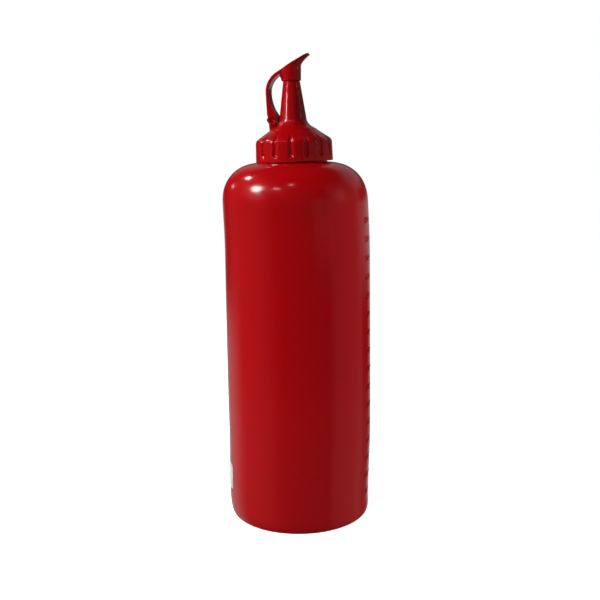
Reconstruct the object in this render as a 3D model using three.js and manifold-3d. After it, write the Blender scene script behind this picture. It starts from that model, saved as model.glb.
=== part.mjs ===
// A one-litre squeeze bottle for sauce: a round blow-moulded bottle, a fluted screw cap with a tapered nozzle,
// a flip lid that turns on a pin beside the nozzle and closes its tip, and a small blank sticker near the foot.
// Millimetres, +Z up, origin on the table under the middle of the bottle. The lid's arm lies in the XZ plane:
// its pin is on the -X side of the nozzle and its thumb tongue points to +X.
import * as THREE from 'three';
import { mergeVertices } from 'three/addons/utils/BufferGeometryUtils.js';
import Module from 'manifold-3d';

const wasm = await Module();
wasm.setup();

// The bottle: a flat ring to stand on with a shallow hollow inside it, a rounded foot, a wall that swells slightly
// in the middle, and a shoulder that is a quarter of a superellipse.
const bottle = {
  pushUp: 2.4,
  ringInner: 31.5,
  ringOuter: 37.7,
  footCorner: 6.4,
  wall: [{ z: 6.4, r: 39.4 }, { z: 60, r: 39.9 }, { z: 110, r: 40.0 }, { z: 150, r: 39.75 }],
  shoulderRadius: 39.5,
  shoulderStart: 175.5,
  shoulderTop: 197.6,
  shoulderInner: 16,
  shoulderPower: 2.32,
  sides: 72,
};

// The shoulder sits a little to the side of the foot, as a blow-moulded one does. The neck leans the same way, and
// everything on it leans with it.
const sway = { from: 150, to: 190, offset: -1.0 };
const neck = { offset: -0.8, leanDegrees: 1.4, radius: 17.9, height: 9.8, root: 8 };

// The screw cap, measured up from its own rim.
const cap = {
  rimHeight: 198.2,
  rimRadius: 20.9,
  topRadius: 20.6,
  skirtHeight: 10.9,
  coneStart: { r: 19.9, z: 11.9 },
  coneEnd: { r: 9.5, z: 18.8 },
  boreRadius: 18.4,
  boreHeight: 10.2,
  sides: 90,
};

// Flutes round the cap's skirt: they start above a plain band and run out on the cone.
const flute = { count: 15, width: 3.0, depth: 1.0, bottom: 2.3, runOutRadius: 16.4, firstDegrees: 6 };

// The nozzle, with a low cone as its tip so that the rigid lid can swing clear of it.
const nozzle = {
  baseRadius: 7.35,
  baseHeight: 22.2,
  tipRadius: 4.5,
  tipHeight: 42.3,
  tipSlopeDegrees: 30,
  holeRadius: 1.3,
  lipRadius: 1.8,
  holeDepth: 14,
};

// The lid's pin, and the post on the cap that carries it.
const pin = { x: -10.65, z: 22.55, radius: 0.9, halfLength: 3.5 };
const post = { halfWidth: 1.6, radius: 2.3, lipReach: 3.85, foot: 16, footLeft: -12.8, footRight: -8.6 };

// The flip lid: a cup over the nozzle's tip, an oblique top that runs out in a thumb tongue, and a curved arm that
// widens into a fork whose two round eyes hold the pin.
const lid = {
  cupRadius: 5.1,
  cupTopRadius: 5.4,
  cupHeight: 42.4,
  seatRadius: 4.72,
  seatGap: 0.35,
  topHeight: 51.24,
  topSlopeDegrees: 28.7,
  tongueStart: 50.5,
  tongueEnd: 10.3,
  armHalfWidth: 4,
  armOuterRadius: 11.77,
  armCentre: { x: -1.85, z: 36.8 },
  armThickness: 1.75,
  armEndDegrees: 110,
  webRadius: 20.4,
  webCornerDegrees: 217.6,
  heel: { x: -13.35, z: 24.9 },
  eyeRadius: 2.75,
  holeRadius: 1.2,
  slotHalfWidth: 1.95,
  slotRadius: 4.25,
};

// The sticker, by the angle from -Y towards +X at which it starts and ends.
const sticker = { from: -103, to: -64.8, bottom: 11.5, top: 26.3, inner: 39.72, thickness: 0.2, steps: 10 };

const radians = THREE.MathUtils.degToRad;
const red = (roughness) => new THREE.MeshStandardMaterial({ color: 0xb0121a, roughness, metalness: 0 });
const paper = new THREE.MeshStandardMaterial({ color: 0xe6e6e8, roughness: 0.6, metalness: 0 });

// A closed manifold solid from any closed three.js geometry.
function solid(geometry) {
  const bare = new THREE.BufferGeometry();
  bare.setAttribute('position', geometry.getAttribute('position'));
  if (geometry.index) bare.setIndex(geometry.index);
  const merged = mergeVertices(bare, 1e-4);
  return new wasm.Manifold(new wasm.Mesh({
    numProp: 3,
    vertProperties: new Float32Array(merged.getAttribute('position').array),
    triVerts: new Uint32Array(merged.index.array),
  }));
}

// A named three.js mesh from a solid.
function meshOf(name, body, material) {
  const { numProp, numVert, vertProperties, triVerts } = body.getMesh();
  const points = new Float32Array(numVert * 3);
  for (let i = 0; i < numVert; i++) {
    points.set(vertProperties.subarray(i * numProp, i * numProp + 3), i * 3);
  }
  const geometry = new THREE.BufferGeometry();
  geometry.setAttribute('position', new THREE.BufferAttribute(points, 3));
  geometry.setIndex(new THREE.BufferAttribute(new Uint32Array(triVerts), 1));
  geometry.computeVertexNormals();
  const mesh = new THREE.Mesh(geometry, material);
  mesh.name = name;
  return mesh;
}

// A profile of [radius, height] points spun about Z. It starts and ends on the axis.
function spun(profile, sides) {
  const points = profile.map(([r, z]) => new THREE.Vector2(r, z));
  return new THREE.LatheGeometry(points, sides).rotateX(Math.PI / 2);
}

// An outline in the XZ plane made a slab, centred on Y. Where one arc ends and the next begins, the doubled point is
// left out.
function slab(shape, halfWidth, curveSegments = 12) {
  const points = shape.getPoints(curveSegments).filter((point, i, all) => point.distanceTo(all.at(i - 1)) > 1e-3);
  const geometry = new THREE.ExtrudeGeometry(new THREE.Shape(points), { depth: 2 * halfWidth, bevelEnabled: false });
  return geometry.translate(0, 0, -halfWidth).rotateX(Math.PI / 2);
}

// A round rod from one point to another.
function rod(from, to, radius, sides) {
  const along = new THREE.Vector3().subVectors(to, from);
  const geometry = new THREE.CylinderGeometry(radius, radius, along.length(), sides);
  const turn = new THREE.Quaternion().setFromUnitVectors(new THREE.Vector3(0, 1, 0), along.clone().normalize());
  geometry.applyQuaternion(turn);
  return geometry.translate((from.x + to.x) / 2, (from.y + to.y) / 2, (from.z + to.z) / 2);
}

// The neck's frame: the cap, the lid and the neck itself are placed in it.
function neckFrame() {
  const frame = new THREE.Group();
  frame.position.set(neck.offset, 0, cap.rimHeight);
  frame.rotation.y = -radians(neck.leanDegrees);
  frame.updateMatrix();
  return frame;
}

function bottleProfile() {
  const { pushUp, ringInner, ringOuter, footCorner, wall } = bottle;
  const profile = [[0, pushUp], [ringInner * 0.55, pushUp * 0.8], [ringInner * 0.85, pushUp * 0.34], [ringInner, 0]];
  const cornerSteps = 6;
  for (let i = 0; i <= cornerSteps; i++) {
    const t = (i / cornerSteps) * (Math.PI / 2);
    profile.push([ringOuter + (wall[0].r - ringOuter) * Math.sin(t), footCorner * (1 - Math.cos(t))]);
  }
  for (const { r, z } of wall.slice(1)) profile.push([r, z]);
  const { shoulderRadius, shoulderStart, shoulderTop, shoulderInner, shoulderPower } = bottle;
  const shoulderSteps = 16;
  for (let i = 0; i <= shoulderSteps; i++) {
    const t = (i / shoulderSteps) * (Math.PI / 2);
    profile.push([
      shoulderInner + (shoulderRadius - shoulderInner) * Math.cos(t) ** (2 / shoulderPower),
      shoulderStart + (shoulderTop - shoulderStart) * Math.sin(t) ** (2 / shoulderPower),
    ]);
  }
  profile.push([0, shoulderTop]);
  return profile;
}

// Moves each point sideways by the sway at its height: a smooth step from nothing to the full offset.
function swayed(geometry) {
  const position = geometry.getAttribute('position');
  for (let i = 0; i < position.count; i++) {
    const share = THREE.MathUtils.smoothstep(position.getZ(i), sway.from, sway.to);
    position.setX(i, position.getX(i) + sway.offset * share);
  }
  return geometry;
}

function makeBottle() {
  const body = solid(swayed(spun(bottleProfile(), bottle.sides)));
  const stem = spun([[0, -neck.root], [neck.radius, -neck.root], [neck.radius, neck.height], [0, neck.height]], 48);
  return body.add(solid(stem.applyMatrix4(neckFrame().matrix)));
}

function capProfile() {
  const { rimRadius, topRadius, skirtHeight, coneStart, coneEnd, boreRadius, boreHeight } = cap;
  const { baseRadius, baseHeight, tipRadius, tipHeight, tipSlopeDegrees, lipRadius, holeRadius, holeDepth } = nozzle;
  const lipHeight = tipHeight + (tipRadius - lipRadius) * Math.tan(radians(tipSlopeDegrees));
  const edge = 0.4;
  return [
    [0, boreHeight],
    [boreRadius, boreHeight],
    [boreRadius, 0],
    [rimRadius - edge, 0],
    [rimRadius, edge],
    [topRadius, skirtHeight - edge],
    [topRadius - 0.22, skirtHeight + 0.45],
    [coneStart.r, coneStart.z],
    [coneEnd.r, coneEnd.z],
    [coneEnd.r - 1.1, coneEnd.z + 1.1],
    [baseRadius + 0.3, baseHeight - 1.0],
    [baseRadius, baseHeight],
    [tipRadius, tipHeight],
    [lipRadius, lipHeight],
    [holeRadius, lipHeight],
    [holeRadius, lipHeight - holeDepth],
    [0, lipHeight - holeDepth],
  ];
}

// One flute's cutter: an upright rod along the skirt with a round lower end, and a slanted one that rises out of
// the cone.
function fluteCutter() {
  const { width, depth, bottom, runOutRadius } = flute;
  const radius = (width ** 2 / 4 + depth ** 2) / (2 * depth);
  const standOff = (cap.rimRadius + cap.topRadius) / 2 - depth + radius;
  const slope = Math.atan2(cap.coneEnd.z - cap.coneStart.z, cap.coneStart.r - cap.coneEnd.r);
  const runOutHeight = cap.coneStart.z + (cap.coneStart.r - runOutRadius) * Math.tan(slope);
  const low = new THREE.Vector3(standOff, 0, bottom + width / 2);
  const bend = new THREE.Vector3(standOff, 0, cap.coneStart.z - 0.3);
  const end = new THREE.Vector3(runOutRadius + radius * Math.sin(slope), 0, runOutHeight + radius * Math.cos(slope));
  const past = end.clone().add(end.clone().sub(bend).multiplyScalar(0.5));
  const sides = 16;
  const ball = (at) => solid(new THREE.SphereGeometry(radius, sides, sides / 2).rotateX(Math.PI / 2)
    .translate(at.x, at.y, at.z));
  return solid(rod(low, bend, radius, sides))
    .add(solid(rod(bend, past, radius, sides)))
    .add(ball(low))
    .add(ball(bend));
}

// The post's outline: a foot in the cone, a round head about the pin, and a sharp lip on its outer side.
function postShape() {
  const { radius, lipReach, foot, footLeft, footRight } = post;
  const shape = new THREE.Shape();
  shape.moveTo(footRight, foot);
  shape.lineTo(pin.x + radius, pin.z - 0.5);
  shape.absarc(pin.x, pin.z, radius, 0, radians(150), false);
  shape.lineTo(pin.x - lipReach, pin.z + 0.2);
  shape.lineTo(footLeft - 0.3, pin.z - 2);
  shape.lineTo(footLeft, foot);
  shape.closePath();
  return shape;
}

function makeCap() {
  let body = solid(spun(capProfile(), cap.sides));
  const cutter = fluteCutter();
  for (let i = 0; i < flute.count; i++) {
    // Angles are counted from -Y towards +X, and the cutter starts on +X.
    body = body.subtract(cutter.rotate([0, 0, flute.firstDegrees - 90 + (i * 360) / flute.count]));
  }
  body = body.add(solid(slab(postShape(), post.halfWidth)));
  const axle = rod(
    new THREE.Vector3(pin.x, -pin.halfLength, pin.z),
    new THREE.Vector3(pin.x, pin.halfLength, pin.z),
    pin.radius,
    16,
  );
  return body.add(solid(axle));
}

// Height of the lid's oblique top over a point on the X axis.
function lidTop(x) {
  return lid.topHeight + x * Math.tan(radians(lid.topSlopeDegrees));
}

// The arm's outline: along the oblique top, round the outer arc, down to the heel, across the eye, and back up the
// inner arcs.
function armShape() {
  const { armCentre, armOuterRadius, armThickness, webRadius, webCornerDegrees, heel, eyeRadius } = lid;
  const start = radians(90 + lid.topSlopeDegrees);
  const innerRadius = armOuterRadius - armThickness;
  const insideCup = -3;
  const shape = new THREE.Shape();
  shape.moveTo(insideCup, lid.cupHeight + 0.6);
  shape.lineTo(insideCup, lidTop(insideCup));
  shape.absarc(armCentre.x, armCentre.z, armOuterRadius, start, Math.PI, false);
  shape.lineTo(heel.x, heel.z);
  shape.lineTo(pin.x - eyeRadius * 0.8, pin.z + eyeRadius * 0.5);
  shape.lineTo(pin.x + eyeRadius * Math.cos(radians(15)), pin.z + eyeRadius * Math.sin(radians(15)));
  const webCentre = armCentre.x - innerRadius + webRadius;
  shape.absarc(webCentre, armCentre.z, webRadius, radians(webCornerDegrees), Math.PI, true);
  shape.absarc(armCentre.x, armCentre.z, innerRadius, Math.PI, radians(lid.armEndDegrees), true);
  shape.closePath();
  return shape;
}

// How far the cup's +X side reaches at a height above the tongue's start: it curves out under the tongue and turns
// in again at the tongue's tip.
function tongueReach(rise) {
  const under = lid.cupTopRadius + rise * (0.6 + 0.09 * rise);
  const tip = lid.tongueEnd - Math.max(0, rise - 5.2);
  return Math.min(under, tip);
}

// The cup and its tongue, cut by the oblique top.
function cupBody() {
  const { cupRadius, cupTopRadius, cupHeight, tongueStart } = lid;
  const rises = [0, 1, 2.2, 3.4, 4.6, 5.2, 5.7, 6.2, 7];
  const profile = [[0, cupHeight], [cupRadius, cupHeight]];
  for (const rise of rises) profile.push([cupTopRadius, tongueStart + rise]);
  profile.push([0, tongueStart + rises.at(-1)]);
  const geometry = spun(profile, 40);
  const position = geometry.getAttribute('position');
  for (let i = 0; i < position.count; i++) {
    const x = position.getX(i);
    const rise = position.getZ(i) - tongueStart;
    if (x > 0 && rise > 0) position.setX(i, (x * tongueReach(rise)) / cupTopRadius);
  }
  const slope = radians(lid.topSlopeDegrees);
  return solid(geometry).trimByPlane([Math.sin(slope), 0, -Math.cos(slope)], -lid.topHeight * Math.cos(slope));
}

// The hollow in the cup: it follows the nozzle's tip with an even gap.
function seatProfile() {
  const { seatRadius, seatGap, cupHeight } = lid;
  const { tipRadius, tipHeight, tipSlopeDegrees, lipRadius } = nozzle;
  const roof = tipHeight + (tipRadius - lipRadius) * Math.tan(radians(tipSlopeDegrees)) + seatGap;
  return [
    [0, cupHeight - 2],
    [seatRadius, cupHeight - 2],
    [seatRadius, cupHeight],
    [tipRadius, tipHeight + seatGap],
    [lipRadius, roof],
    [0, roof],
  ];
}

function makeLid() {
  const { armHalfWidth, slotHalfWidth, slotRadius, eyeRadius, holeRadius } = lid;
  const across = (halfWidth, radius, sides) => solid(rod(
    new THREE.Vector3(pin.x, -halfWidth, pin.z),
    new THREE.Vector3(pin.x, halfWidth, pin.z),
    radius,
    sides,
  ));
  return cupBody()
    .add(solid(slab(armShape(), armHalfWidth, 14)))
    .add(across(armHalfWidth, eyeRadius, 32))
    .subtract(across(slotHalfWidth, slotRadius, 32))
    .subtract(across(2 * armHalfWidth, holeRadius, 20))
    .subtract(solid(spun(seatProfile(), 40)));
}

function makeSticker() {
  const { from, to, bottom, top, inner, thickness, steps } = sticker;
  // Angles from -Y towards +X become angles from +X.
  const start = radians(from - 90);
  const end = radians(to - 90);
  const shape = new THREE.Shape();
  shape.absarc(0, 0, inner + thickness, start, end, false);
  shape.absarc(0, 0, inner, end, start, true);
  shape.closePath();
  const depth = top - bottom;
  const geometry = new THREE.ExtrudeGeometry(shape, { depth, bevelEnabled: false, curveSegments: steps });
  return solid(geometry.translate(0, 0, bottom));
}

const squeezeBottle = new THREE.Group();
squeezeBottle.add(meshOf('bottle', makeBottle(), red(0.35)));
squeezeBottle.add(meshOf('sticker', makeSticker(), paper));

const closure = neckFrame();
closure.add(meshOf('nozzle_cap', makeCap(), red(0.3)));
closure.add(meshOf('flip_lid', makeLid(), red(0.3)));
squeezeBottle.add(closure);

export default squeezeBottle;
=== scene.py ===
# A red one-litre squeeze bottle for sauce: a blow-moulded bottle with a raised scale, a fluted screw cap with
# a tapered nozzle, a flip lid on a pin, and a small blank sticker. Every shape is worked out in millimetres,
# in the frame of the CAD model, and stored in metres. Angles round the bottle are counted from -Y (the front)
# towards +X.
import math

import bpy
import numpy as np
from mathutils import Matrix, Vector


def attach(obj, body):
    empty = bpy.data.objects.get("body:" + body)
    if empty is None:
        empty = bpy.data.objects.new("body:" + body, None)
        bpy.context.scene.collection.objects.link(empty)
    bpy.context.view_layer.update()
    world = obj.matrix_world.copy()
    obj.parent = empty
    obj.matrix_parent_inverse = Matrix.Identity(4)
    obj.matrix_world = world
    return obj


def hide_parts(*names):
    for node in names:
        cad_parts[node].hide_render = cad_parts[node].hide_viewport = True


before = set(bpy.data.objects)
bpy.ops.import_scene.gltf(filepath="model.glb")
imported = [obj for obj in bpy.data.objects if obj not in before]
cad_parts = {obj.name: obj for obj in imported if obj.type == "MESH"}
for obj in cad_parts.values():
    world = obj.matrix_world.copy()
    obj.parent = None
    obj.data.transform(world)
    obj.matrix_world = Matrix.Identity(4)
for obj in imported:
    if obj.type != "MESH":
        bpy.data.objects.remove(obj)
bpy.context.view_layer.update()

mm = 0.001
scene = bpy.context.scene
scene.view_settings.view_transform = "Standard"  # keeps the red as deep as the photograph has it


# Linear colour from sRGB hex: c / 12.92 up to 0.04045, above it ((c + 0.055) / 1.055) to the power 2.4.
def linear(hexColour):
    c = np.array([int(hexColour[i:i + 2], 16) for i in (1, 3, 5)]) / 255
    c = np.where(c <= 0.04045, c / 12.92, ((c + 0.055) / 1.055) ** 2.4)
    return tuple(float(part) for part in c) + (1.0,)


# Adds a node: settings are its properties, values its unlinked inputs, links the outputs that reach its
# inputs.
def addNode(tree, kind, settings=None, values=None, links=None):
    node = tree.nodes.new(kind)
    for key, value in (settings or {}).items():
        setattr(node, key, value)
    for key, value in (values or {}).items():
        node.inputs[key].default_value = value
    for key, output in (links or {}).items():
        tree.links.new(output, node.inputs[key])
    return node


# A material with an empty node tree.
def newMaterial(name):
    material = bpy.data.materials.new(name)
    material.use_nodes = True
    material.node_tree.nodes.clear()
    return material, material.node_tree


# Smooth step: 0 below low, 1 above high, and 3t^2 - 2t^3 of the share t between them.
def smoothStep(value, low, high):
    t = np.clip((value - low) / (high - low), 0, 1)
    return t * t * (3 - 2 * t)


# Radii and heights turned round the axis: the radius times (sin, -cos) of the angle, at the height.
def turned(radius, height, angle):
    return np.stack([radius * np.sin(angle), -radius * np.cos(angle), height + 0 * radius * angle], -1)


# An object at the origin from points in millimetres and a list of face arrays: each point times 0.001.
def addPiece(name, points, faces, material):
    mesh = bpy.data.meshes.new(name)
    faceList = [face for part in faces for face in part.tolist()]
    mesh.from_pydata((np.asarray(points) * mm).tolist(), [], faceList)
    mesh.polygons.foreach_set("use_smooth", np.ones(len(mesh.polygons), bool))
    mesh.materials.append(material)
    mesh.update()
    piece = bpy.data.objects.new(name, mesh)
    scene.collection.objects.link(piece)
    return piece


# Faces of a closed skin over a grid of points: each point joins its right and upper neighbours, the last
# column joins the first, and the first and last rows are shrunk to one point each, with a fan of triangles.
def skinFaces(grid):
    rows, columns = grid.shape[:2]
    j = np.arange(columns)
    k = (j + 1) % columns
    start = (np.arange(rows - 3) * columns)[:, None]
    quads = np.stack([start + j, start + k, start + columns + k, start + columns + j], -1).reshape(-1, 4)
    first, last, top = (rows - 2) * columns, (rows - 2) * columns + 1, (rows - 3) * columns
    fans = [np.stack([np.full(columns, first), k, j], -1),
            np.stack([top + j, top + k, np.full(columns, last)], -1)]
    points = np.vstack([grid[1:-1].reshape(-1, 3), grid[0].mean(0), grid[-1].mean(0)])
    return points, [quads, np.vstack(fans)]


# Several closed skins as one list of points and faces: a skin's point numbers go up by the points before it.
def joined(skins):
    points, faces, count = [], [], 0
    for skinPoints, skinParts in skins:
        points.append(skinPoints)
        faces += [part + count for part in skinParts]
        count += len(skinPoints)
    return np.vstack(points), faces


# A profile through corners (radius, height, rounding, spacing): each corner is a parabola between the two
# points that lie the rounding before and after it, though never further off than the given share of the way
# to the next corner, and the straight stretch that follows is cut to the spacing.
def roundedProfile(corners, arcSteps=5, share=0.45):
    at = np.array([corner[:2] for corner in corners], float)
    t = np.linspace(0, 1, arcSteps)[:, None]
    parts = [at[:1]]
    for i in range(1, len(at) - 1):
        back, onward = at[i - 1] - at[i], at[i + 1] - at[i]
        cut = min(corners[i][2], share * np.hypot(*back), share * np.hypot(*onward))
        before, after = at[i] + back / np.hypot(*back) * cut, at[i] + onward / np.hypot(*onward) * cut
        arc = (1 - t) ** 2 * before + 2 * t * (1 - t) * at[i] + t ** 2 * after
        parts.append(arc if cut > 0 else at[i:i + 1])
    parts.append(at[-1:])
    line = [parts[0]]
    for i in range(1, len(parts)):
        start, end = parts[i - 1][-1], parts[i][0]
        steps = max(1, math.ceil(np.hypot(*(end - start)) / corners[i - 1][3]))
        line.append(start + (end - start) * (np.arange(1, steps) / steps)[:, None])
        line.append(parts[i])
    return np.vstack(line)


# The neck, and all that is on it, leans a little to the side: its frame is turned about Y and moved.
neckFrame = {"offset": -0.8, "height": 198.2, "leanDegrees": 1.4}


# Points of the neck's frame in the object's own: a turn by the lean in the XZ plane, then the move to the
# neck.
def fromNeck(points):
    lean = math.radians(neckFrame["leanDegrees"])
    c, s = math.cos(lean), math.sin(lean)
    x, y, z = np.moveaxis(np.asarray(points, float), -1, 0)
    return np.stack([c * x - s * z + neckFrame["offset"], y, s * x + c * z + neckFrame["height"]], -1)


# Moulded plastic, coloured through: a faint cloud in the colour, a roughness that changes in patches and in
# upright streaks from the mould, a slow waviness that bends the reflections, and a fine grain. The roughness
# runs from low to high over the patch spread on each side of the mean of cloud and streaks, which is a half
# for each of them times its weight.
def mouldedPlastic(name, look):
    material, tree = newMaterial(name)
    place = addNode(tree, "ShaderNodeTexCoord").outputs["Object"]
    upright = addNode(tree, "ShaderNodeMapping", values={"Scale": (1, 1, look["streakShare"])},
                      links={"Vector": place}).outputs[0]
    cloud, streak, wave, grain = [
        addNode(tree, "ShaderNodeTexNoise", values={"Scale": 1 / (look[size] * mm), "Detail": detail},
                links={"Vector": vector}).outputs[0]
        for size, detail, vector in (("cloudSize", 3.0, place), ("streakSize", 2.0, upright),
                                     ("waveSize", 1.0, place), ("grainSize", 2.0, place))]
    colour = addNode(tree, "ShaderNodeMix", {"data_type": "RGBA"},
                     {6: linear(look["colour"]), 7: linear(look["colourDeep"])}, {0: cloud}).outputs[2]
    patches = addNode(tree, "ShaderNodeMath", {"operation": "MULTIPLY_ADD"}, {1: look["streakWeight"]},
                      {0: streak, 2: cloud}).outputs[0]
    mean = 0.5 + look["streakWeight"] / 2
    rough = addNode(tree, "ShaderNodeMapRange",
                    values={"From Min": mean - look["patchSpread"], "From Max": mean + look["patchSpread"],
                            "To Min": look["roughLow"], "To Max": look["roughHigh"]},
                    links={"Value": patches}).outputs[0]
    waved = addNode(tree, "ShaderNodeBump", values={"Strength": 1.0, "Distance": look["waveHeight"] * mm},
                    links={"Height": wave}).outputs[0]
    grained = addNode(tree, "ShaderNodeBump", values={"Strength": 1.0, "Distance": look["grainHeight"] * mm},
                      links={"Height": grain, "Normal": waved}).outputs[0]
    shader = addNode(tree, "ShaderNodeBsdfPrincipled",
                     values={"IOR": look["ior"], "Subsurface Weight": look["depth"],
                             "Subsurface Radius": look["depthShares"],
                             "Subsurface Scale": look["depthSize"] * mm},
                     links={"Base Color": colour, "Roughness": rough, "Normal": grained})
    addNode(tree, "ShaderNodeOutputMaterial", links={"Surface": shader.outputs[0]})
    return material


# Low-density polyethylene, blow moulded: a satin skin with soft wide highlights, very slightly milky at its
# edges. Sizes and heights are in millimetres; the grain is coarser than life, so that it shows. depthShares
# says how far red, green and blue light go under the surface, as shares of depthSize.
ldpeLook = {
    "colour": "#B3040B", "colourDeep": "#AC030A", "cloudSize": 26,
    "streakSize": 5, "streakShare": 0.06, "streakWeight": 0.2,
    "waveSize": 16, "waveHeight": 0.055, "grainSize": 0.9, "grainHeight": 0.0035,
    "roughLow": 0.14, "roughHigh": 0.19, "patchSpread": 0.15,
    "ior": 1.51, "depth": 0.06, "depthSize": 1.2, "depthShares": (1.0, 0.25, 0.2),
}
# Polypropylene, injection moulded in a polished tool: harder and glossier, with crisp highlights on its
# edges.
ppLook = {
    "colour": "#AE050C", "colourDeep": "#A6040B", "cloudSize": 14,
    "streakSize": 3, "streakShare": 0.2, "streakWeight": 0.2,
    "waveSize": 7, "waveHeight": 0.01, "grainSize": 0.7, "grainHeight": 0.002,
    "roughLow": 0.11, "roughHigh": 0.17, "patchSpread": 0.15,
    "ior": 1.49, "depth": 0.05, "depthSize": 0.9, "depthShares": (1.0, 0.25, 0.2),
}
ldpeRed = mouldedPlastic("blow_moulded_LDPE_red", ldpeLook)
ppRed = mouldedPlastic("injection_moulded_PP_red", ppLook)

# Coated label paper: a pale greyish white, with a faint fibre in its shade and a soft sheen.
paperLook = {"colour": "#E0E1E3", "colourShade": "#D6D7DA", "fibreSize": 0.6, "fibreHeight": 0.004,
             "roughLow": 0.38, "roughHigh": 0.5, "ior": 1.5}


# Paper whose one fibre pattern sets its shade, its roughness and its relief.
def coatedPaper(name, look):
    material, tree = newMaterial(name)
    place = addNode(tree, "ShaderNodeTexCoord").outputs["Object"]
    fibre = addNode(tree, "ShaderNodeTexNoise", values={"Scale": 1 / (look["fibreSize"] * mm), "Detail": 4.0},
                    links={"Vector": place}).outputs[0]
    colour = addNode(tree, "ShaderNodeMix", {"data_type": "RGBA"},
                     {6: linear(look["colour"]), 7: linear(look["colourShade"])}, {0: fibre}).outputs[2]
    rough = addNode(tree, "ShaderNodeMapRange",
                    values={"To Min": look["roughLow"], "To Max": look["roughHigh"]},
                    links={"Value": fibre}).outputs[0]
    bump = addNode(tree, "ShaderNodeBump", values={"Strength": 1.0, "Distance": look["fibreHeight"] * mm},
                   links={"Height": fibre}).outputs[0]
    shader = addNode(tree, "ShaderNodeBsdfPrincipled", values={"IOR": look["ior"]},
                     links={"Base Color": colour, "Roughness": rough, "Normal": bump})
    addNode(tree, "ShaderNodeOutputMaterial", links={"Surface": shader.outputs[0]})
    return material


labelPaper = coatedPaper("coated_label_paper_white", paperLook)
print("materials made")

# The blown bottle. Pairs that fade a form in or out are the heights where the fade starts and ends. wallMiddle
# is a height near the wall's middle, and wallMean the radius that turns lengths along the wall into angles.
bottle = {
    "pushUp": 2.4, "ringInner": 31.5, "ringOuter": 38.6, "footCorner": 6.4,
    "wall": [(6.4, 39.8), (60, 40.35), (110, 40.2), (150, 39.9), (175.5, 39.7)],  # height, radius
    "wallMiddle": 90, "wallMean": 40,
    "shoulderStart": 175.5, "shoulderTop": 197.95, "shoulderInner": 16, "shoulderPower": 2.32,
    "shoulderEnd": 85.6, "shoulderCrowd": 1.15,  # where the superellipse stops, and how its rows crowd low down
    "neckRadius": 17.9, "neckHeight": 9.8, "neckFillet": 0.9, "neckBlend": 1.5,
    # the axis sways along X: at the shoulder, and at the foot, where the floor has a share of the full move
    "sway": -1.0, "swayFrom": 150, "swayTo": 190,
    "footSway": -0.85, "footFrom": 9, "footTo": 50, "floorShare": 0.45,
    # the parting line, on two opposite sides, the columns beside its middle, in mm from it, and the degrees
    # that the even columns stay clear of them
    "seamDegrees": 98, "seamHeight": 0.1, "seamWidth": 0.3, "seamIn": (2, 8), "seamOut": (196, 197.4),
    "seamColumns": [0.12, 0.25, 0.42, 0.65, 1.0, 1.6], "seamClear": 1.2,
    "pinchHeight": 0.5, "pinchWidth": 0.6, "pinchReach": 27, "pinchFade": 4,
    "dentDepth": 0.16, "dentWaves": (31, 47, 17), "dentIn": (12, 40), "dentOut": (150, 180),
    "columns": 240, "baseRows": 26, "ringRows": 6, "footRows": 22, "wallRows": 90, "shoulderRows": 60,
}


# The wall's radius: the polynomial through the wall's measured points.
def wallRadius(z):
    heights, radii = np.array(bottle["wall"], float).T
    middle = bottle["wallMiddle"]
    return np.polyval(np.polyfit(heights - middle, radii, len(heights) - 1), np.asarray(z, float) - middle)


# How far the bottle's axis has moved along X at a height: once at the shoulder, and low down, where the move
# is full at footFrom, a share of it at the floor and nothing from footTo on.
def swayAt(z):
    b = bottle
    share = b["floorShare"] + (1 - b["floorShare"]) * smoothStep(z, 0, b["footFrom"])
    foot = b["footSway"] * share * (1 - smoothStep(z, b["footFrom"], b["footTo"]))
    return foot + b["sway"] * smoothStep(z, b["swayFrom"], b["swayTo"])


# A point on the wall, or above it by the lift: radius times (sin, -cos) of the angle, moved by the sway.
def onWall(degrees, z, lift):
    angle, radius = np.radians(degrees), wallRadius(z) + lift
    return np.stack([radius * np.sin(angle) + swayAt(z), -radius * np.cos(angle), z + 0 * angle], -1)


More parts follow.
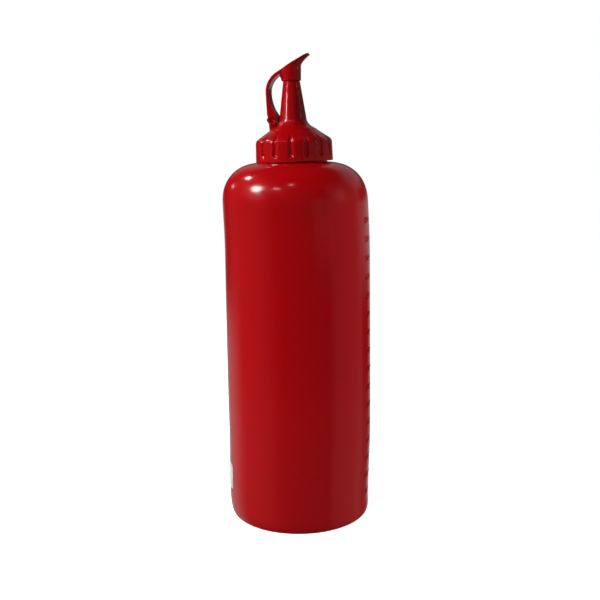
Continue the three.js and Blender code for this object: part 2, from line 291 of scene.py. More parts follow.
# The bottle's profile from the middle of its base to the middle of its neck's top: a cubic hollow, a flat
# ring, a quarter of an ellipse for the foot, the wall, nearly a quarter of a superellipse for the shoulder, a
# fillet and the neck. The third column says how far the row already stands in the neck's frame.
def bottleProfile():
    b = bottle
    r = np.linspace(0, b["ringInner"], b["baseRows"])
    rows = [np.stack([r, b["pushUp"] * (1 - (r / b["ringInner"]) ** 3)], -1)]
    r = np.linspace(b["ringInner"], b["ringOuter"], b["ringRows"])[1:-1]
    rows.append(np.stack([r, 0 * r], -1))
    t = np.linspace(0, math.pi / 2, b["footRows"])
    footRadius = float(wallRadius(b["footCorner"]))
    rows.append(np.stack([b["ringOuter"] + (footRadius - b["ringOuter"]) * np.sin(t),
                          b["footCorner"] * (1 - np.cos(t))], -1))
    z = np.linspace(b["footCorner"], b["shoulderStart"], b["wallRows"])[1:-1]
    rows.append(np.stack([wallRadius(z), z], -1))
    t = np.linspace(0, 1, b["shoulderRows"]) ** b["shoulderCrowd"] * math.radians(b["shoulderEnd"])
    power, rise = 2 / b["shoulderPower"], b["shoulderTop"] - b["shoulderStart"]
    reach = float(wallRadius(b["shoulderStart"])) - b["shoulderInner"]
    rows.append(np.stack([b["shoulderInner"] + reach * np.cos(t) ** power,
                          b["shoulderStart"] + rise * np.sin(t) ** power], -1))
    body = np.vstack(rows)
    foot, neckTop = body[-1], neckFrame["height"] + b["neckHeight"]
    # radius, height, rounding, spacing of the rows that follow
    corners = [(*foot, 0, 0.4), (b["neckRadius"], foot[1] + 0.1, b["neckFillet"], 1.5),
               (b["neckRadius"], neckTop, 0.8, 1.5), (0, neckTop, 0, 3)]
    neck = roundedProfile(corners)[1:]
    profile = np.vstack([body, neck])
    share = np.concatenate([np.zeros(len(body)), smoothStep(neck[:, 1], foot[1], foot[1] + b["neckBlend"])])
    return np.column_stack([profile, share])


# Angles of the columns: even steps, with closer ones on each side of the parting line in their place.
def bottleColumns():
    b = bottle
    side = np.array(b["seamColumns"])
    close = np.degrees(np.concatenate([-side[::-1], [0], side]) / b["wallMean"])
    seams = np.concatenate([close + b["seamDegrees"], close + b["seamDegrees"] + 180])
    even = np.arange(b["columns"]) * 360 / b["columns"]
    apart = np.abs((even[:, None] - seams + 180) % 360 - 180).min(1)
    return np.sort(np.concatenate([even[apart > b["seamClear"]], seams % 360]))


# The bottle's skin: the profile turned round the axis, plus a bell-shaped ridge along the parting line, a
# straight pinch-off ridge under the base, and the slow hollows that a blown wall has, a few hundredths of a
# millimetre deep: sines of the height over each wave's length and of the angle. The neck's rows are carried
# over into the neck's frame by their share.
def makeBottle():
    b = bottle
    profile, degrees = bottleProfile(), bottleColumns()
    angle = np.radians(degrees)
    r, z, share = profile[:, :1], profile[:, 1:2], profile[:, 2:]
    fromSeam = np.radians((degrees - b["seamDegrees"] + 90) % 180 - 90)
    along = smoothStep(z, *b["seamIn"]) * (1 - smoothStep(z, *b["seamOut"]))
    ridge = b["seamHeight"] * np.exp(-(fromSeam * b["wallMean"] / b["seamWidth"]) ** 2) * along
    first, second, third = b["dentWaves"]
    slow = np.sin(z / first + 2 * angle) * np.sin(3 * angle + z / second)
    slow = slow + 0.6 * np.sin(z / third - angle + 1)
    slow = slow * b["dentDepth"] / 4 * smoothStep(z, *b["dentIn"]) * (1 - smoothStep(z, *b["dentOut"]))
    slope = np.gradient(profile[:, :2], axis=0)
    slope /= np.maximum(np.hypot(*slope.T), 1e-9)[:, None]
    outR, outZ = slope[:, 1:2], -slope[:, :1]
    radius, height = r + (ridge + slow) * outR, z + (ridge + slow) * outZ
    across = r * np.sin(fromSeam)
    pinch = b["pinchHeight"] * np.exp(-(across / b["pinchWidth"]) ** 2)
    pinch = pinch * (1 - smoothStep(r, b["pinchReach"] - b["pinchFade"], b["pinchReach"]))
    inBase = (np.arange(len(r)) < b["baseRows"])[:, None]
    height = height - np.where(inBase, pinch, 0)
    straight = turned(radius, height, angle)
    plain = straight + swayAt(z)[..., None] * [1, 0, 0]
    onNeck = fromNeck(straight - [0, 0, neckFrame["height"]])
    grid = plain + (onNeck - plain) * share[..., None]
    return addPiece("bottle_shell", *skinFaces(grid), ldpeRed)


bottleShell = makeBottle()
print("bottle made:", len(bottleShell.data.polygons), "faces")

# The raised scale: first is the height of the middle of the lowest figure, and each figure says one unit, in
# millilitres, more than the one below it. The strokes' depth, bevel and thinning are shares of the type size.
scaleMarks = {
    "first": 13.0, "step": 10.28, "count": 16, "unit": 50,
    "figureHeight": 3.5, "figureEnd": 86.5, "raise": 0.22, "sunk": 0.12,
    "strokeDepth": 0.04, "strokeBevel": 0.012, "strokeThinning": 0.008, "strokeSteps": 3,
    "tickFrom": 89.5, "tickTo": 95, "tickWidth": 0.65, "tickPower": 8, "tickRows": 15, "tickColumns": 16,
}


# One figure's points and triangles, 0 to 1 tall, with its right edge at 0 and its front at 1.
def figureMesh(text):
    s = scaleMarks
    curve = bpy.data.curves.new("figure", "FONT")
    curve.body, curve.resolution_u = text, s["strokeSteps"]
    curve.extrude, curve.bevel_depth, curve.offset = s["strokeDepth"], s["strokeBevel"], -s["strokeThinning"]
    holder = bpy.data.objects.new("figure", curve)
    scene.collection.objects.link(holder)
    bpy.context.view_layer.update()
    mesh = bpy.data.meshes.new_from_object(holder.evaluated_get(bpy.context.evaluated_depsgraph_get()))
    mesh.calc_loop_triangles()
    points = np.zeros(len(mesh.vertices) * 3)
    mesh.vertices.foreach_get("co", points)
    triangles = np.zeros(len(mesh.loop_triangles) * 3, int)
    mesh.loop_triangles.foreach_get("vertices", triangles)
    bpy.data.objects.remove(holder)
    bpy.data.curves.remove(curve)
    bpy.data.meshes.remove(mesh)
    points = points.reshape(-1, 3)
    tall = np.ptp(points[:, 1])
    points[:, :2] = (points[:, :2] - [points[:, 0].max(), points[:, 1].min()]) / tall
    points[:, 2] = (points[:, 2] - points[:, 2].min()) / np.ptp(points[:, 2])
    return points, triangles.reshape(-1, 3)


# Figures and ticks laid on the wall: a figure's width becomes an angle (width / radius), its depth a lift. A
# tick is an ellipse across, half of it in the wall, carried along the angle, with ends that close as the
# square root of 1 - t^8.
def makeScale():
    s, skins = scaleMarks, []
    u = np.linspace(0, 2 * math.pi, s["tickColumns"], endpoint=False)
    t = np.sin(np.linspace(-1, 1, s["tickRows"]) * math.pi / 2)[:, None]
    close = np.clip(1 - t ** s["tickPower"], 0, 1) ** 0.5
    for i in range(s["count"]):
        middle = s["first"] + i * s["step"]
        flat, triangles = figureMesh(str(s["unit"] * (i + 1)))
        size = s["figureHeight"]
        degrees = s["figureEnd"] + np.degrees(flat[:, 0] * size / bottle["wallMean"])
        lift = -s["sunk"] + flat[:, 2] * (s["raise"] + s["sunk"])
        skins.append((onWall(degrees, middle + (flat[:, 1] - 0.5) * size, lift), [triangles]))
        degrees = s["tickFrom"] + (t + 1) / 2 * (s["tickTo"] - s["tickFrom"])
        z = middle + s["tickWidth"] / 2 * close * np.cos(u)
        skins.append(skinFaces(onWall(degrees + 0 * u, z, s["raise"] * close * np.sin(u))))
    return addPiece("scale_marks", *joined(skins), ldpeRed)


scaleRelief = makeScale()
print("scale made:", len(scaleRelief.data.polygons), "faces")

# The blank sticker, from one angle to another and between two heights. radius turns its angles into widths.
sticker = {
    "from": -103, "to": -58.8, "bottom": 15.2, "top": 30, "corner": 2.6, "thickness": 0.09, "lift": 0.03,
    "radius": 39.5, "rings": 14, "cornerStep": 7.5, "sideSteps": 8, "edgeBulge": 0.0005,
}


# A film on the wall: rings of one rounded rectangle, a quarter circle at each corner, that grow from the
# middle under the film to its edge and shrink to the middle again on top. Half-way up the edge they bulge a
# little.
def makeSticker():
    s = sticker
    wide, tall = np.radians(s["to"] - s["from"]) * s["radius"] / 2, (s["top"] - s["bottom"]) / 2
    turn = np.radians(np.arange(0, 90.1, s["cornerStep"]))
    quarter = np.stack([np.cos(turn), np.sin(turn)], -1) * s["corner"]
    quarter = quarter + [wide - s["corner"], tall - s["corner"]]
    flip = quarter[::-1]
    corners = np.vstack([quarter, flip * [-1, 1], quarter * [-1, -1], flip * [1, -1]])
    step = np.roll(corners, -1, 0) - corners
    between = (np.arange(s["sideSteps"]) / s["sideSteps"])[:, None]
    outline = (corners[:, None] + step[:, None] * between).reshape(-1, 2)
    grow, flat = np.linspace(0, 1, s["rings"]), np.zeros(s["rings"])
    rings = np.concatenate([grow, [1 + s["edgeBulge"]], grow[::-1]])[:, None]
    lift = s["lift"] + s["thickness"] * np.concatenate([flat, [0.5], flat + 1])[:, None]
    degrees = (s["from"] + s["to"]) / 2 + np.degrees(outline[:, 0] * rings / s["radius"])
    z = (s["bottom"] + s["top"]) / 2 + outline[:, 1] * rings
    return addPiece("blank_sticker", *skinFaces(onWall(degrees, z, lift)), labelPaper)


blankSticker = makeSticker()
print("sticker made")

# The screw cap and its nozzle, in the neck's frame.
screwCap = {
    # radius, height above the rim, rounding, spacing of the rows that follow
    "corners": [(0, 10.2, 0, 6), (18.4, 10.2, 0.5, 2.5), (18.4, 0, 0.25, 1), (20.9, 0, 0.42, 0.36),
                (20.6, 11.42, 1.7, 0.36), (12.95, 16.51, 0.12, 0.3), (12.6, 16.93, 0.1, 0.5),
                (9.5, 18.8, 1.0, 0.5), (8.4, 19.9, 0.8, 0.5), (7.65, 21.2, 0.8, 0.5), (7.35, 22.2, 0.6, 2.2),
                (4.5, 42.3, 0.45, 0.6), (1.8, 43.86, 0.25, 0.5), (1.3, 43.86, 0.2, 2), (1.3, 29.86, 0.2, 1),
                (0, 29.86, 0, 1)],
    "columns": 600, "flutes": 15, "firstFlute": 6, "fluteRadius": 1.625, "fluteSoftness": 0.16,
    "fluteInner": 15, "fluteLow": 1, "fluteDepth": 1.6,  # flutes lie outside, above and no deeper than these
    "skirtRadius": 20.75, "skirtSpacing": 0.36,  # of the columns and the rows that the softening goes by
    # the line of the flute's cutter: up along the skirt, then slanting out of the cone (radius, height)
    "cutterLine": [(21.375, 3.8), (21.375, 11.6), (17.298, 15.574), (15.26, 17.56)],
    # limits that keep the cut to skin that faces outwards, on the cutter's own side
    "leastInward": 0.05, "leastFacing": 0.2, "cutterReach": 1.2,
}


# How deep the flutes cut at each row and column: the distance from the bare profile, straight inwards, to the
# far side of a round-ended cutter. Beside the cutter's middle by y, its section is as wide as
# sqrt(radius^2 - y^2).
def fluteDepth(profile, inward, angle):
    c = screwCap
    pitch = 2 * math.pi / c["flutes"]
    off = (angle - math.radians(c["firstFlute"]) + pitch / 2) % pitch - pitch / 2
    r, z = profile[:, :1], profile[:, 1:2]
    x, y = r * np.cos(off), r * np.sin(off)
    reach2 = c["fluteRadius"] ** 2 - y ** 2
    depth = np.zeros_like(x)
    line = np.array(c["cutterLine"])
    ux, uz = inward[:, :1], inward[:, 1:2]
    for px, pz in line[:2]:  # the round lower end and the bend
        along = (x - px) * ux + (z - pz) * uz
        gap2 = (x - px) ** 2 + (z - pz) ** 2 - reach2
        far = -along + np.sqrt(np.maximum(along ** 2 - gap2, 0))
        depth = np.where((gap2 < 0) & (reach2 > 0), np.maximum(depth, far), depth)
    for (ax, az), (bx, bz) in zip(line[:-1], line[1:]):
        length = math.hypot(bx - ax, bz - az)
        tx, tz = (bx - ax) / length, (bz - az) / length
        nx, nz = -tz, tx  # square to the line, towards the axis
        facing = ux * nx + uz * nz
        gap = (x - ax) * nx + (z - az) * nz
        travel = (np.sqrt(np.maximum(reach2, 0)) - gap) / np.maximum(facing, c["leastFacing"])
        place = (x - ax) * tx + (z - az) * tz + travel * (ux * tx + uz * tz)
        inside = (reach2 > 0) & (travel > 0) & (place >= 0) & (place <= length)
        inside = inside & (facing > c["leastFacing"]) & (gap > -c["fluteRadius"] * c["cutterReach"])
        depth = np.where(inside, np.maximum(depth, travel), depth)
    return np.minimum(depth, c["fluteDepth"])


# Blurs rows and columns with a bell curve whose width is given in millimetres: this rounds the flutes' edges.
def soften(depth, width, rowStep, columnStep):
    for axis, step in ((0, rowStep), (1, columnStep)):
        reach = max(1, int(3 * width / step))
        shifts = range(-reach, reach + 1)
        weights = np.exp(-0.5 * (np.array(shifts) * step / width) ** 2)
        weights /= weights.sum()
        depth = sum(weight * np.roll(depth, shift, axis) for weight, shift in zip(weights, shifts))
    return depth


# The cap and nozzle, one moulding: the rounded profile, moved inwards and square to itself by the softened
# depth of the flutes, and turned round the neck's axis.
def makeCap():
    c = screwCap
    profile = roundedProfile(c["corners"])
    slope = np.gradient(profile, axis=0)
    slope /= np.maximum(np.hypot(*slope.T), 1e-9)[:, None]
    inward = np.stack([-slope[:, 1], slope[:, 0]], -1)
    angle = np.linspace(0, 2 * math.pi, c["columns"], endpoint=False)
    fluted = (profile[:, 0] > c["fluteInner"]) & (profile[:, 1] > c["fluteLow"])
    fluted = fluted & (inward[:, 0] < -c["leastInward"])
    rows = np.where(fluted)[0]
    first, last = rows[0], rows[-1] + 1
    depth = np.zeros((len(profile), c["columns"]))
    depth[first:last] = fluteDepth(profile[first:last], inward[first:last], angle)
    columnStep = 2 * math.pi * c["skirtRadius"] / c["columns"]
    depth = soften(depth, c["fluteSoftness"], c["skirtSpacing"], columnStep)
    depth[:first] = 0
    radius = profile[:, :1] + inward[:, :1] * depth
    height = profile[:, 1:] + inward[:, 1:] * depth
    return addPiece("screw_cap", *skinFaces(fromNeck(turned(radius, height, angle))), ppRed)


capShell = makeCap()
print("cap made:", len(capShell.data.polygons), "faces")

# The hinge's post and pin, in the neck's frame. The post's back bulges a little between its foot and its lip.
hinge = {
    "pinX": -10.65, "pinZ": 22.55, "pinRadius": 0.9, "pinHalf": 3.5,
    "postHalf": 1.6, "postRadius": 2.3, "postFrom": -12, "postTo": 150, "lipReach": 3.85, "lipRise": 0.2,
    "foot": 16, "footLeft": -12.8, "footRight": -8.6, "backBulge": 0.3, "backDrop": 2,
    "edge": 0.22, "edgeSteps": 3, "edgeAngle": 35,
}
# A rod's end, as shares of its dome's depth: where its middle row lies, and how much smaller the circles are
# at the rim and at that row.
rodEnd = {"middle": 0.3, "rimLoss": 0.45, "middleLoss": 0.12}


# Points (x, z) on an arc, from one angle to another, about a step of degrees apart: the centre plus the radius
# times (cos, sin) of the angle.
def arc(centreX, centreZ, radius, fromDegrees, toDegrees, step):
    count = max(2, int(abs(toDegrees - fromDegrees) / step) + 1)
    turn = np.radians(np.linspace(fromDegrees, toDegrees, count))
    return np.stack([centreX + radius * np.cos(turn), centreZ + radius * np.sin(turn)], -1)


# A slab over an outline in the XZ plane that runs anticlockwise seen from the front: the outline at both ends
# of Y.
def slab(outline, half):
    n = len(outline)
    ring = np.column_stack([outline[:, 0], np.zeros(n), outline[:, 1]])
    points = np.vstack([ring - [0, half, 0], ring + [0, half, 0]])
    i = np.arange(n)
    k = (i + 1) % n
    return points, [np.stack([i, i + n, k + n, k], -1), i[None], (i + n)[None, ::-1]]


# A rod along Y with slightly domed ends: a row of circles whose radius closes at both ends.
def rodSkin(centreX, centreZ, radius, half, dome=0.25, columns=32):
    endY = np.array([half, half, half - dome * rodEnd["middle"], half - dome])
    endRadius = np.array([0, radius - rodEnd["rimLoss"] * dome, radius - rodEnd["middleLoss"] * dome, radius])
    y = np.concatenate([-endY, [0], endY[::-1]])[:, None]
    size = np.concatenate([endRadius, [radius], endRadius[::-1]])[:, None]
    turn = np.linspace(0, 2 * math.pi, columns, endpoint=False)
    x, z = centreX + size * np.sin(turn), centreZ + size * np.cos(turn)
    return skinFaces(np.stack([x, y + 0 * turn, z], -1))


# The post, a slab over an outline with an arc round the pin and a lip on its left, and the pin, a rod.
def makePost():
    h = hinge
    outline = np.vstack([
        [(h["footRight"], h["foot"])],
        arc(h["pinX"], h["pinZ"], h["postRadius"], h["postFrom"], h["postTo"], 6),
        [(h["pinX"] - h["lipReach"], h["pinZ"] + h["lipRise"]),
         (h["footLeft"] - h["backBulge"], h["pinZ"] - h["backDrop"]), (h["footLeft"], h["foot"])],
    ])
    points, faces = slab(outline, h["postHalf"])
    post = addPiece("hinge_post", fromNeck(points), faces, ppRed)
    bevel = post.modifiers.new("edge", "BEVEL")
    bevel.width, bevel.segments = h["edge"] * mm, h["edgeSteps"]
    bevel.limit_method, bevel.angle_limit = "ANGLE", math.radians(h["edgeAngle"])
    points, faces = rodSkin(h["pinX"], h["pinZ"], h["pinRadius"], h["pinHalf"])
    pin = addPiece("hinge_pin", fromNeck(points), faces, ppRed)
    return post, pin


hingePost, hingePin = makePost()
print("hinge made")

# The flip lid, in the neck's frame, shut.
flipLid = {
    "cupRadius": 5.1, "cupTopRadius": 5.4, "cupHeight": 42.4, "cupColumns": 128, "cupRows": 90,
    "cupFlare": 1.1, "flareBelow": 1, "flareAbove": 4,  # the flare grows from below the lip to above it
    # the tongue's reach grows with the rise above its start, by a slope and a curve, and falls back at the end
    "tongueStart": 50.5, "tongueEnd": 10.3, "tongueSlope": 0.6, "tongueCurve": 0.09, "tongueFall": 5.2,
    "topHeight": 51.24, "topSlope": 28.7, "topTries": (44, 58, 1401),  # heights tried for the oblique top
    "armHalf": 4, "armOuter": 11.77, "armX": -1.85, "armZ": 36.8, "armThick": 1.75, "armEnd": 110,
    "armStart": -3, "armLow": 0.6, "webRadius": 20.4, "webCorner": 217.6, "heel": (-13.35, 24.9),
    "eye": 2.75, "eyeCorner": (-0.8, 0.5), "eyeDegrees": 15,
    "hole": 1.2, "slotHalf": 1.95, "slotRadius": 4.25,
    "seat": [(0, 40.4), (4.72, 40.4), (4.72, 42.4), (4.5, 42.65), (1.8, 44.21), (0, 44.21)],  # radius, height
    "columns": 64, "voxel": 0.15, "smoothing": 6,
}


# Height of the oblique top over X: its height on the axis plus X times the tangent of its slope.
def lidTop(x):
    return flipLid["topHeight"] + x * math.tan(math.radians(flipLid["topSlope"]))


# The cup and tongue: a wall whose radius grows from the lip to the top, and whose +X side is stretched to the
# tongue's reach, up to where it meets the oblique top. The top and the underside run straight to their
# middles.
def cupSkin():
    f = flipLid
    angle = np.linspace(0, 2 * math.pi, f["cupColumns"], endpoint=False)

    # X and Y of the wall at a height: the cup's radius times (sin, -cos), with X stretched by the flare on the
    # hinge's side and by the tongue on the other.
    def wall(z):
        rise = np.maximum(z - f["tongueStart"], 0)
        share = np.clip((z - f["cupHeight"]) / (f["tongueStart"] - f["cupHeight"]), 0, 1)
        radius = f["cupRadius"] + (f["cupTopRadius"] - f["cupRadius"]) * share
        reach = np.minimum(f["cupTopRadius"] + rise * (f["tongueSlope"] + f["tongueCurve"] * rise),
                           f["tongueEnd"] - np.maximum(rise - f["tongueFall"], 0))
        flare = 1 + f["cupFlare"] / radius * smoothStep(z, f["cupHeight"] - f["flareBelow"],
                                                        f["cupHeight"] + f["flareAbove"])
        stretch = np.where(np.sin(angle) < 0, flare, np.where(rise > 0, reach / f["cupTopRadius"], 1))
        return radius * np.sin(angle) * stretch, -radius * np.cos(angle)

    tries = np.linspace(*f["topTries"])[:, None] + 0 * angle
    above = tries - lidTop(wall(tries)[0]) >= 0
    end = tries[np.argmax(above, 0), np.arange(len(angle))]
    z = f["cupHeight"] + (end - f["cupHeight"]) * np.linspace(0, 1, f["cupRows"])[:, None]
    x, y = wall(z)
    z[-1] = lidTop(x[-1])
    side = np.stack([x, y, z + 0 * x], -1)
    inner = np.linspace(0, 1, 12)[:-1, None, None]
    under = side[:1] * inner + np.array([0, 0, f["cupHeight"]]) * (1 - inner)
    over = side[-1:] * inner[::-1] + np.array([0, 0, f["topHeight"]]) * (1 - inner[::-1])
    return skinFaces(np.concatenate([under, side, over]))


# The arm: along the oblique top, round the outer arc, down to the heel, across the eye and back up the inner
# arcs.
def armSkin():
    f, px, pz = flipLid, hinge["pinX"], hinge["pinZ"]
    inner = f["armOuter"] - f["armThick"]
    start, eyeTurn = f["armStart"], math.radians(f["eyeDegrees"])
    cornerX, cornerZ = f["eyeCorner"]
    outline = np.vstack([
        [(start, f["cupHeight"] + f["armLow"]), (start, lidTop(start))],
        arc(f["armX"], f["armZ"], f["armOuter"], 90 + f["topSlope"], 180, 2),
        [f["heel"], (px + f["eye"] * cornerX, pz + f["eye"] * cornerZ)],
        [(px + f["eye"] * math.cos(eyeTurn), pz + f["eye"] * math.sin(eyeTurn))],
        arc(f["armX"] - inner + f["webRadius"], f["armZ"], f["webRadius"], f["webCorner"], 180, 2),
        arc(f["armX"], f["armZ"], inner, 180, f["armEnd"], 2)[1:],
    ])
    return slab(outline, f["armHalf"])


# One skin for the lid: the cup, arm and eye are joined, the slot, pin hole and seat are cut out, and the
# whole is covered by a fine voxel skin and smoothed, which rounds each edge as the mould does. Until then it
# stands with one metre for each millimetre, because such small steps are too fine at its real size.
def makeLid():
    f, px, pz = flipLid, hinge["pinX"], hinge["pinZ"]
    turn = np.linspace(0, 2 * math.pi, f["columns"], endpoint=False)
    seatRadius, seatHeight = np.array(f["seat"]).T[..., None]
    seat = skinFaces(turned(seatRadius, seatHeight, turn))
    parts = [("UNION", armSkin()), ("UNION", rodSkin(px, pz, f["eye"], f["armHalf"], 0.1, f["columns"])),
             ("DIFFERENCE", rodSkin(px, pz, f["slotRadius"], f["slotHalf"], 0.05, f["columns"])),
             ("DIFFERENCE", rodSkin(px, pz, f["hole"], 2 * f["armHalf"], 0.1, 32)), ("DIFFERENCE", seat)]
    points, faces = cupSkin()
    body = addPiece("lid_body", points / mm, faces, ppRed)
    cutters = []
    for operation, (points, faces) in parts:
        cutter = addPiece("lid_part", points / mm, faces, ppRed)
        step = body.modifiers.new("part", "BOOLEAN")
        step.operation, step.solver, step.object = operation, "EXACT", cutter
        cutters.append(cutter)
    remesh = body.modifiers.new("skin", "REMESH")
    remesh.mode, remesh.voxel_size = "VOXEL", f["voxel"]
    smooth = body.modifiers.new("soft", "SMOOTH")
    smooth.factor, smooth.iterations = 0.5, f["smoothing"]
    bpy.context.view_layer.update()
    mesh = bpy.data.meshes.new_from_object(body.evaluated_get(bpy.context.evaluated_depsgraph_get()))
    points = np.zeros(len(mesh.vertices) * 3)
    mesh.vertices.foreach_get("co", points)
    mesh.vertices.foreach_set("co", (fromNeck(points.reshape(-1, 3)) * mm).ravel())
    mesh.polygons.foreach_set("use_smooth", np.ones(len(mesh.polygons), bool))
    mesh.update()
    for spare in [body, *cutters]:
        bpy.data.objects.remove(spare)
    piece = bpy.data.objects.new("flip_lid_shell", mesh)
    scene.collection.objects.link(piece)
    return piece


lidShell = makeLid()
print("lid made:", len(lidShell.data.polygons), "faces")

# What rides on which body, and which node each piece dresses and takes the place of.
for piece, slotName in [(bottleShell, "bottle"), (scaleRelief, "bottle"), (blankSticker, "sticker"),
                        (capShell, "nozzle_cap"), (hingePost, "nozzle_cap"), (hingePin, "nozzle_cap")]:
    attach(piece, "bottle_with_cap")
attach(lidShell, "lid")
for piece, node in [(bottleShell, "bottle"), (blankSticker, "sticker"), (capShell, "nozzle_cap"),
                    (lidShell, "flip_lid")]:
    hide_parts(node)

# The stage. Bearings are counted from the camera's side, positive to the right as the camera sees it. dimmest
# is what the world gives to light and reflections where no panel is.
studio = {
    "cameraBearing": 11, "cameraDistance": 466, "cameraHeight": 208, "cameraPitch": 10.5, "cameraRoll": 0.82,
    "lens": 50.83, "film": 36, "shift": 2 / 600, "dimmest": 0.02,
}


# A direction from its bearing and elevation: (sin, -cos) of the turned bearing times the elevation's cosine,
# and its sine for the height.
def towards(bearing, elevation):
    a, e = math.radians(studio["cameraBearing"] + bearing), math.radians(elevation)
    return np.array([math.sin(a) * math.cos(e), -math.cos(a) * math.cos(e), math.sin(e)])


# The camera: level axes from its bearing, tipped forward by the pitch and turned about the view by the roll.
def addCamera():
    s = studio
    a, pitch, roll = (math.radians(s[key]) for key in ("cameraBearing", "cameraPitch", "cameraRoll"))
    side, level = np.array([math.cos(a), math.sin(a), 0]), np.array([-math.sin(a), math.cos(a), 0])
    ahead = level * math.cos(pitch) - np.array([0, 0, math.sin(pitch)])
    above = level * math.sin(pitch) + np.array([0, 0, math.cos(pitch)])
    right = side * math.cos(roll) - above * math.sin(roll)
    up = side * math.sin(roll) + above * math.cos(roll)
    camera = bpy.data.objects.new("camera", bpy.data.cameras.new("camera"))
    camera.data.lens, camera.data.sensor_width, camera.data.shift_x = s["lens"], s["film"], s["shift"]
    turn = Matrix(np.column_stack([right, up, -ahead]).tolist()).to_4x4()
    away, height = s["cameraDistance"] * mm, s["cameraHeight"] * mm
    place = Vector((away * math.sin(a), -away * math.cos(a), height))
    camera.matrix_world = Matrix.Translation(place) @ turn
    camera.data.clip_start, camera.data.clip_end = 0.01, 50
    scene.collection.objects.link(camera)
    scene.camera = camera


# The floor: radii and drop are in millimetres, the distances where it fades in metres, the grain per metre.
studioFloor = {
    "radii": [0, 1, 60, 150, 400, 800, 1400], "columns": 96, "drop": 0.05,
    "fadeFrom": 0.25, "fadeTo": 1.1, "tone": "#F2F2F2", "toneDeep": "#EDEDED", "grain": 60, "glow": 0.75,
}


# A flat disc that glows a little, so that it stays pale, and fades out with the distance from the object.
def addFloor():
    f = studioFloor
    radii = np.array(f["radii"], float)[:, None]
    grid = turned(radii, -f["drop"], np.linspace(0, 2 * math.pi, f["columns"], endpoint=False))
    i = (np.arange(len(radii) - 1) * f["columns"])[:, None]
    j = np.arange(f["columns"])
    k = (j + 1) % f["columns"]
    quads = np.stack([i + j, i + f["columns"] + j, i + f["columns"] + k, i + k], -1).reshape(-1, 4)
    material, tree = newMaterial("pale_studio_floor")
    place = addNode(tree, "ShaderNodeTexCoord").outputs["Object"]
    away = addNode(tree, "ShaderNodeVectorMath", {"operation": "LENGTH"}, links={0: place}).outputs["Value"]
    fade = addNode(tree, "ShaderNodeMapRange", {"interpolation_type": "SMOOTHSTEP"},
                   {"From Min": f["fadeFrom"], "From Max": f["fadeTo"]}, {"Value": away}).outputs[0]
    grain = addNode(tree, "ShaderNodeTexNoise", values={"Scale": f["grain"]},
                    links={"Vector": place}).outputs[0]
    tone = addNode(tree, "ShaderNodeMix", {"data_type": "RGBA"},
                   {6: linear(f["tone"]), 7: linear(f["toneDeep"])}, {0: grain}).outputs[2]
    matt = addNode(tree, "ShaderNodeBsdfDiffuse", links={"Color": tone}).outputs[0]
    glow = addNode(tree, "ShaderNodeEmission",
                   values={"Color": (1, 1, 1, 1), "Strength": f["glow"]}).outputs[0]
    clear = addNode(tree, "ShaderNodeBsdfTransparent").outputs[0]
    both = addNode(tree, "ShaderNodeAddShader", links={0: matt, 1: glow}).outputs[0]
    mixed = addNode(tree, "ShaderNodeMixShader", links={0: fade, 1: both, 2: clear}).outputs[0]
    addNode(tree, "ShaderNodeOutputMaterial", links={"Surface": mixed})
    floor = addPiece("floor", grid.reshape(-1, 3), [quads], material)
    floor.visible_glossy = floor.visible_diffuse = False  # the world's own lower half takes its place there


# What the gloss mirrors, in degrees: each panel is full within half its width of its bearing and fades over
# the edge beyond, and lies between two elevations, with a soft change at both.
studioPanels = [
    # the wall behind on the right, darker in a band at the height that the lid's arm mirrors
    {"bearing": 160, "half": 23, "edge": 34, "low": -8, "high": 42, "soft": 4, "strength": 0.04},
    {"bearing": 160, "half": 23, "edge": 34, "low": -8, "high": -1, "soft": 3, "strength": 0.38},
    {"bearing": 160, "half": 23, "edge": 34, "low": 13, "high": 42, "soft": 4, "strength": 0.3},
    # the table behind, which the bottle's edges mirror low down: on the left, and narrower on the right
    {"bearing": -150, "half": 12, "edge": 40, "low": -60, "high": -11, "soft": 3, "strength": 0.42},
    {"bearing": 167, "half": 9, "edge": 12, "low": -60, "high": -7, "soft": 3, "strength": 0.42},
    # broad dim sides of the room, left and right, and a paler patch in front on the right
    {"bearing": -85, "half": 25, "edge": 30, "low": -40, "high": 60, "soft": 20, "strength": 0.1},
    {"bearing": 88, "half": 30, "edge": 6, "low": -40, "high": 40, "soft": 12, "strength": 0.14},
    {"bearing": 42, "half": 12, "edge": 5, "low": -6.5, "high": 12, "soft": 1.5, "strength": 0.15},
    # the table in front
    {"bearing": 0, "half": 179, "edge": 1, "low": -80, "high": -17, "soft": 4, "strength": 0.075},
]


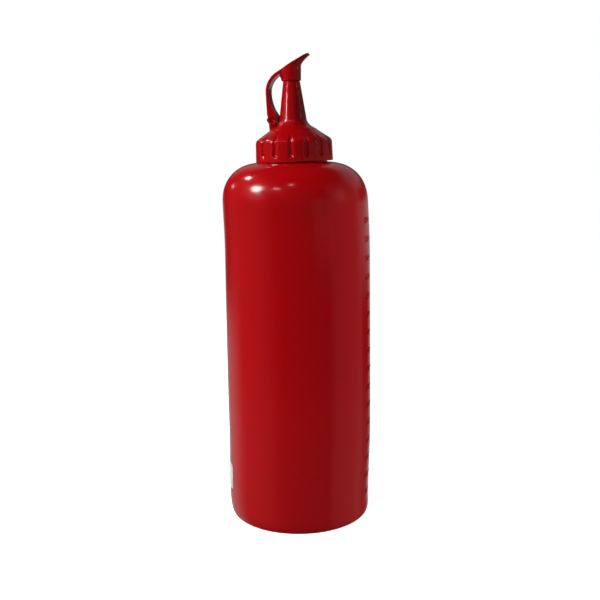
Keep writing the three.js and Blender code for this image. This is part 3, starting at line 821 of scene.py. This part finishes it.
# The world: white behind everything the camera sees. For light and reflections it is nearly dark, with the
# panels above added to it. A panel is the smooth step of the cosine from its bearing, times those of the rise
# at its edges.
def addWorld():
    world = bpy.data.worlds.new("studio")
    world.use_nodes = True
    scene.world = world
    tree = world.node_tree
    tree.nodes.clear()
    way = addNode(tree, "ShaderNodeTexCoord").outputs["Generated"]
    rise = addNode(tree, "ShaderNodeSeparateXYZ", links={0: way}).outputs["Z"]
    level = addNode(tree, "ShaderNodeVectorMath", {"operation": "MULTIPLY"},
                    {1: (1, 1, 0)}, {0: way}).outputs[0]
    level = addNode(tree, "ShaderNodeVectorMath", {"operation": "NORMALIZE"}, links={0: level}).outputs[0]

    # The smooth step of a value, 0 at its start and 1 where it is full.
    def step(value, start, full):
        return addNode(tree, "ShaderNodeMapRange", {"interpolation_type": "SMOOTHSTEP"},
                       {"From Min": start, "From Max": full}, {"Value": value}).outputs[0]

    # The height of a direction at this elevation: its sine.
    def degreeSine(degrees):
        return math.sin(math.radians(degrees))

    total = None
    for panel in studioPanels:
        half, low, high, soft = (panel[key] for key in ("half", "low", "high", "soft"))
        near = addNode(tree, "ShaderNodeVectorMath", {"operation": "DOT_PRODUCT"},
                       {1: tuple(towards(panel["bearing"], 0))}, {0: level}).outputs["Value"]
        around = step(near, math.cos(math.radians(half + panel["edge"])), math.cos(math.radians(half)))
        above = step(rise, degreeSine(low - soft), degreeSine(low + soft))
        below = step(rise, degreeSine(high + soft), degreeSine(high - soft))
        part = addNode(tree, "ShaderNodeMath", {"operation": "MULTIPLY"},
                       links={0: above, 1: below}).outputs[0]
        part = addNode(tree, "ShaderNodeMath", {"operation": "MULTIPLY"},
                       links={0: part, 1: around}).outputs[0]
        total = addNode(tree, "ShaderNodeMath", {"operation": "MULTIPLY_ADD"},
                        {1: panel["strength"], 2: studio["dimmest"]},
                        {0: part} if total is None else {0: part, 2: total}).outputs[0]
    seen = addNode(tree, "ShaderNodeLightPath").outputs["Is Camera Ray"]
    light = addNode(tree, "ShaderNodeBackground", links={"Strength": total}).outputs[0]
    white = addNode(tree, "ShaderNodeBackground", values={"Color": (1, 1, 1, 1), "Strength": 1.0}).outputs[0]
    mixed = addNode(tree, "ShaderNodeMixShader", links={0: seen, 1: light, 2: white}).outputs[0]
    addNode(tree, "ShaderNodeOutputWorld", links={"Surface": mixed})


# The card in front of the lamp on the right: its direction and distance, its width, and its edges' heights.
flag = {"bearing": 78, "distance": 160, "width": 320, "bottom": 228, "top": 286}


# A black card, square to its direction, that keeps the right-hand lamp off the cap and the nozzle. Only its
# shadow is seen.
def addFlag():
    wide = towards(flag["bearing"] + 90, 0) * flag["width"] / 2
    out = towards(flag["bearing"], 0) * flag["distance"]
    corners = [out + side * wide + [0, 0, z] for side, z in
               ((-1, flag["bottom"]), (1, flag["bottom"]), (1, flag["top"]), (-1, flag["top"]))]
    material, tree = newMaterial("black_card")
    black = addNode(tree, "ShaderNodeBsdfDiffuse", values={"Color": linear("#0A0A0A")}).outputs[0]
    addNode(tree, "ShaderNodeOutputMaterial", links={"Surface": black})
    card = addPiece("flag", corners, [np.array([[0, 1, 2, 3]])], material)
    card.visible_camera = card.visible_diffuse = card.visible_glossy = False


# A soft lamp that faces a point (in mm) from a direction and a distance (in mm), with its size in mm. Those
# that aren't mirrored light the object without showing in its gloss. Power in watts for a bare lamp: with a
# grid in front, which narrows its spread to the angle h each way, it is multiplied by (tan h - h) / tan h,
# which keeps the beam's middle as bright.
def addLamp(name, aim, bearing, elevation, distance, size, power, shape="ELLIPSE", mirrored=True, spread=180):
    lamp = bpy.data.lights.new(name, "AREA")
    lamp.shape, lamp.size, lamp.energy = shape, size[0] * mm, power
    lamp.size_y, lamp.spread = size[1] * mm, math.radians(spread)
    if spread < 180:
        lamp.energy *= 1 - math.radians(spread / 2) / math.tan(math.radians(spread / 2))
    holder = bpy.data.objects.new(name, lamp)
    away = towards(bearing, elevation)
    holder.location = (np.array(aim) + away * distance) * mm
    holder.rotation_euler = Vector(-away).to_track_quat("-Z", "Y").to_euler()
    holder.visible_glossy, holder.visible_camera = mirrored, False
    scene.collection.objects.link(holder)


addCamera()
addFloor()
addWorld()
addFlag()
# Lamps that light without being mirrored.
middle = (0, 0, 120)
addLamp("key", middle, -69, 28, 1300, (500, 700), 8.2, "RECTANGLE", mirrored=False)
addLamp("fill", middle, 78, 15, 1500, (500, 500), 13.4, "RECTANGLE", mirrored=False)
addLamp("front", middle, 0, 12, 1800, (2400, 1300), 3, "RECTANGLE", mirrored=False)
addLamp("low", (0, 0, 10), -33, 38, 1500, (300, 150), 7.5, mirrored=False, spread=14)
# Lamps that the gloss shows: the large glint on the shoulder, the streak on the nozzle, and the small glints.
addLamp("glint_large", (-12.6, -35.9, 185.6), -70, 31.5, 1300, (400, 350), 8.6)
addLamp("streak", (-3.5, -6, 231), -61, 15.4, 1500, (110, 55), 3.6, "RECTANGLE", spread=4.5)
addLamp("glint_small", (-19.3, -29.8, 190.3), -119.5, 42.6, 1500, (160, 140), 2.6)
addLamp("glint_left", (-28.6, -25.5, 186.0), -126.8, 17.6, 1500, (100, 150), 0.25)
addLamp("glint_middle", (-2.8, -37.9, 185.2), -33.2, 38.2, 1500, (260, 60), 0.5)
addLamp("glint_right", (4.4, -36.7, 187.1), -7.7, 52.8, 1500, (90, 60), 0.35)
print("stage made")
